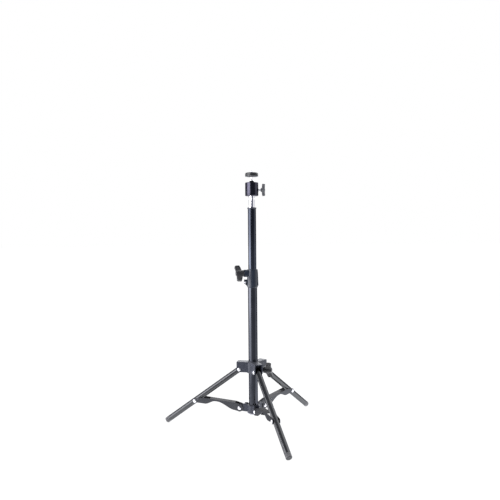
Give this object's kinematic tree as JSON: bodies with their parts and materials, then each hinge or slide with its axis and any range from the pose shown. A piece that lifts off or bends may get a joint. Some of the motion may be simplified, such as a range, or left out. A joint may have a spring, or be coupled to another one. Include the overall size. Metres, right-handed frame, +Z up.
{
  "type": "portable projector stand",
  "caption": "Telescoping column stand with braced folding tripod legs and a small ball head that carries a compact projector on a round plate.",
  "frame": {"origin": "on the column axis, at floor level", "axes": "+Z up the column; +X to the right and +Y away in the picture's view, so the front leg points towards -Y"},
  "size_m": [0.4151, 0.4304, 0.694],
  "materials": {
    "tube_black": "glossy black powder coat over aluminium tube",
    "upper_black": "glossy black finish",
    "hub_cast": "satin grey-blue cast metal, painted",
    "brace_steel": "dark satin pressed sheet metal",
    "collar_plastic": "satin grey-blue moulded plastic",
    "knob_plastic": "black moulded plastic with fine texture",
    "cap_plastic": "black moulded plastic",
    "plug_plastic": "light grey moulded plastic",
    "foot_rubber": "grey rubber",
    "pad_rubber": "black cork-like rubber",
    "chrome": "bright plated steel",
    "head_black": "satin black-violet anodised metal",
    "plate_grey": "turned grey aluminium with a knurled rim",
    "screw_steel": "bright threaded steel"
  },
  "bodies": {
    "base": {"lower_tube": "tube_black", "base_hub": "hub_cast", "base_plug": "plug_plastic", "base_rivet_1": "chrome", "base_rivet_2": "chrome", "base_rivet_3": "chrome", "column_collar": "collar_plastic", "collar_pin": "chrome"},
    "leg_hub": {"leg_hub": "hub_cast", "leg_rivet_1": "chrome", "leg_rivet_2": "chrome", "leg_rivet_3": "chrome"},
    "leg_1": {"leg_1": "tube_black", "foot_1": "foot_rubber"},
    "leg_2": {"leg_2": "tube_black", "foot_2": "foot_rubber"},
    "leg_3": {"leg_3": "tube_black", "foot_3": "foot_rubber"},
    "brace_1": {"brace_1": "brace_steel", "brace_rivets_1": "chrome"},
    "brace_2": {"brace_2": "brace_steel", "brace_rivets_2": "chrome"},
    "brace_3": {"brace_3": "brace_steel", "brace_rivets_3": "chrome"},
    "column": {"upper_tube": "upper_black", "tube_cap": "cap_plastic", "spigot": "chrome", "ball_housing": "head_black"},
    "hub_knob": {"hub_knob": "knob_plastic", "hub_screw": "screw_steel"},
    "collar_knob": {"collar_knob": "knob_plastic", "collar_screw": "screw_steel"},
    "head_knob": {"head_knob": "knob_plastic", "head_screw": "screw_steel"},
    "ball": {"ball": "chrome"},
    "head": {"ball_stem": "chrome", "plate": "plate_grey", "plate_pad": "pad_rubber", "camera_screw": "screw_steel"}
  },
  "joints": [
    {"name": "hub_slide", "type": "slide", "parent": "base", "child": "leg_hub", "axis": [0, 0, 1], "range_m": [0, 0.17782]},
    {"name": "leg_1_fold", "type": "hinge", "parent": "leg_hub", "child": "leg_1", "pos_m": [0.02427, 0.02792, 0.1581], "axis": [-0.7547, 0.6561, 0], "range_deg": [0, 54]},
    {"name": "leg_2_fold", "type": "hinge", "parent": "leg_hub", "child": "leg_2", "pos_m": [-0.03632, 0.00706, 0.1581], "axis": [-0.1908, -0.9816, 0], "range_deg": [0, 54]},
    {"name": "leg_3_fold", "type": "hinge", "parent": "leg_hub", "child": "leg_3", "pos_m": [0.01205, -0.03498, 0.1581], "axis": [0.9455, 0.3256, 0], "range_deg": [0, 54]},
    {"name": "brace_1_fold", "type": "hinge", "parent": "base", "child": "brace_1", "pos_m": [0.02427, 0.02792, 0.053], "axis": [0.7547, -0.6561, 0], "range_deg": [0, 83.94]},
    {"name": "brace_2_fold", "type": "hinge", "parent": "base", "child": "brace_2", "pos_m": [-0.03632, 0.00706, 0.053], "axis": [0.1908, 0.9816, 0], "range_deg": [0, 83.94]},
    {"name": "brace_3_fold", "type": "hinge", "parent": "base", "child": "brace_3", "pos_m": [0.01205, -0.03498, 0.053], "axis": [-0.9455, -0.3256, 0], "range_deg": [0, 83.94]},
    {"name": "column_slide", "type": "slide", "parent": "base", "child": "column", "axis": [0, 0, 1], "range_m": [-0.158, 0.15]},
    {"name": "hub_knob_turn", "type": "hinge", "parent": "leg_hub", "child": "hub_knob", "pos_m": [0.01932, -0.00518, 0.1581], "axis": [0.9659, -0.2588, 0], "continuous": true},
    {"name": "collar_knob_turn", "type": "hinge", "parent": "base", "child": "collar_knob", "pos_m": [-0.01932, -0.00518, 0.419], "axis": [-0.9659, -0.2588, 0], "continuous": true},
    {"name": "head_knob_turn", "type": "hinge", "parent": "column", "child": "head_knob", "pos_m": [0.02, 0, 0.64284], "axis": [1, 0, 0], "continuous": true},
    {"name": "ball_pan", "type": "hinge", "parent": "column", "child": "ball", "pos_m": [0, 0, 0.659], "axis": [0, 0, 1], "continuous": true},
    {"name": "head_tilt", "type": "hinge", "parent": "ball", "child": "head", "pos_m": [0, 0, 0.659], "axis": [0, 1, 0], "range_deg": [-35, 35]}
  ],
  "couplings": [
    {"joint": "leg_1_fold", "follows": "hub_slide", "rad_per_m": 5.3002},
    {"joint": "leg_2_fold", "follows": "hub_slide", "rad_per_m": 5.3002},
    {"joint": "leg_3_fold", "follows": "hub_slide", "rad_per_m": 5.3002},
    {"joint": "brace_1_fold", "follows": "hub_slide", "rad_per_m": 8.2387},
    {"joint": "brace_2_fold", "follows": "hub_slide", "rad_per_m": 8.2387},
    {"joint": "brace_3_fold", "follows": "hub_slide", "rad_per_m": 8.2387}
  ]
}
